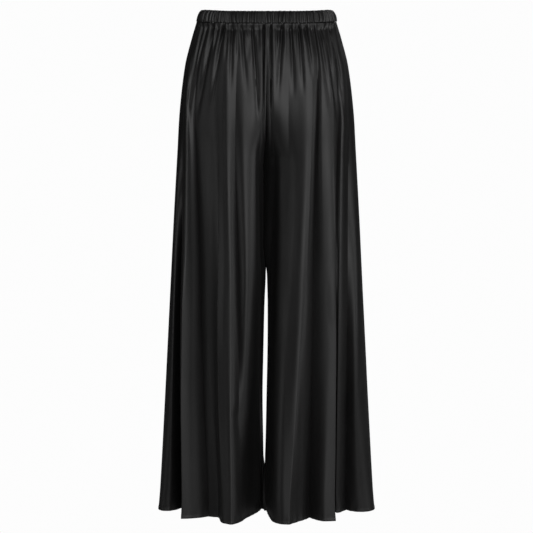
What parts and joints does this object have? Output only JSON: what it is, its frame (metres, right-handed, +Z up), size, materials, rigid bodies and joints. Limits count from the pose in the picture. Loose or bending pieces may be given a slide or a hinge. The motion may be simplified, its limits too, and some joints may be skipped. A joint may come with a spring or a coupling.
{
  "type": "palazzo pants",
  "caption": "Long, wide-legged pull-on pants with a ruched elastic waistband and legs that fall in loose folds, filled out as worn with no wearer.",
  "frame": {"origin": "centre of the waistband, at half its height, where the wearer's waist holds it up", "axes": "+Z up along the wearer, +Y towards the garment's front, +X towards the wearer's right; the back faces -Y"},
  "size_m": [0.445, 0.2619, 1.0186],
  "materials": {
    "band_knit": "satin knit over elastic",
    "panel_knit": "satin knit"
  },
  "bodies": {
    "root": {"waistband": "band_knit", "back_left": "panel_knit", "back_right": "panel_knit", "front_left": "panel_knit", "front_right": "panel_knit"}
  },
  "joints": []
}
